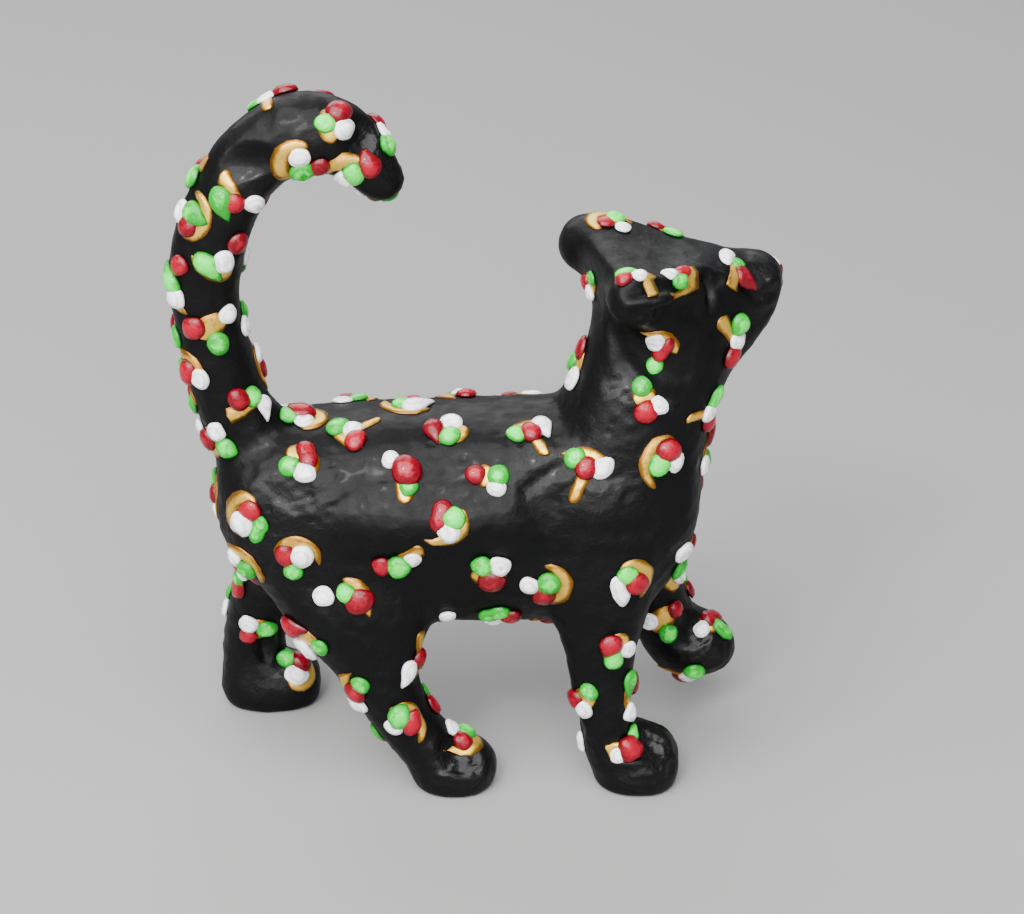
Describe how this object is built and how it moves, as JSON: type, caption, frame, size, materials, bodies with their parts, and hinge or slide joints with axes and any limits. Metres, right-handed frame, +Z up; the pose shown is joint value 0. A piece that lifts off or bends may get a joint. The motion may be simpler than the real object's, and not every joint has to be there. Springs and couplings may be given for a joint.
{
  "type": "papier-mache cat figurine",
  "caption": "Small standing ornament of a walking cat in painted paper pulp, with a hooked upright tail, a turned flat-topped head and a raised front paw.",
  "frame": {"origin": "on the floor under the middle of the cat's bounding box", "axes": "+X the way the cat faces, +Y to its left, +Z up"},
  "size_m": [0.1423, 0.0578, 0.1714],
  "materials": {
    "painted_paper": "black paint under satin varnish over layered paper pulp, lumpy and lightly creased, with raised dabs of gold, red, green and pearl white paint",
    "gold_paint": "flat dabs of metallic gold paint",
    "red_paint": "glossy raised dots of red paint",
    "green_paint": "pearly raised dots of light green paint",
    "white_paint": "pearly raised dots of white paint"
  },
  "bodies": {
    "root": {"papier_mache_cat": "painted_paper"}
  },
  "joints": []
}
